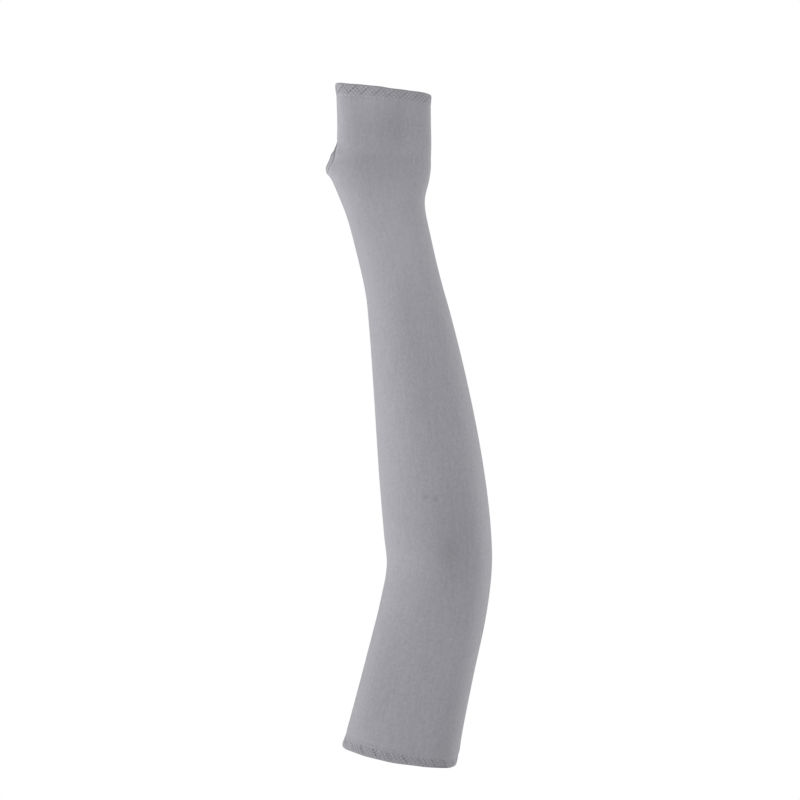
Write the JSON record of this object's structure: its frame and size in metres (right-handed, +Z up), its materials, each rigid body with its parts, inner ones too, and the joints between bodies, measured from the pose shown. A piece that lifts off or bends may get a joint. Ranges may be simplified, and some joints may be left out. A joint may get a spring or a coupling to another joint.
{
  "type": "cooling arm sleeve",
  "caption": "Slim knitted arm sleeve, gently bent at the elbow, with a folded hem at each end and a hemmed thumb hole. It is pulled over the arm to shade and cool it.",
  "frame": {"origin": "middle of the upper-arm opening, where the arm goes in", "axes": "+Z up the sleeve from the upper arm to the knuckles, +X to the outer side of the elbow, -Y to the back of the hand"},
  "size_m": [0.1218, 0.0828, 0.4976],
  "materials": {
    "knit": "fine smooth stretch knit, cool grey, with a faint sheen",
    "hem": "the same knit folded double and sewn with grey thread"
  },
  "bodies": {
    "root": {"sleeve_tube": "knit", "arm_hem": "hem", "hand_hem": "hem", "thumb_hem": "hem"}
  },
  "joints": []
}
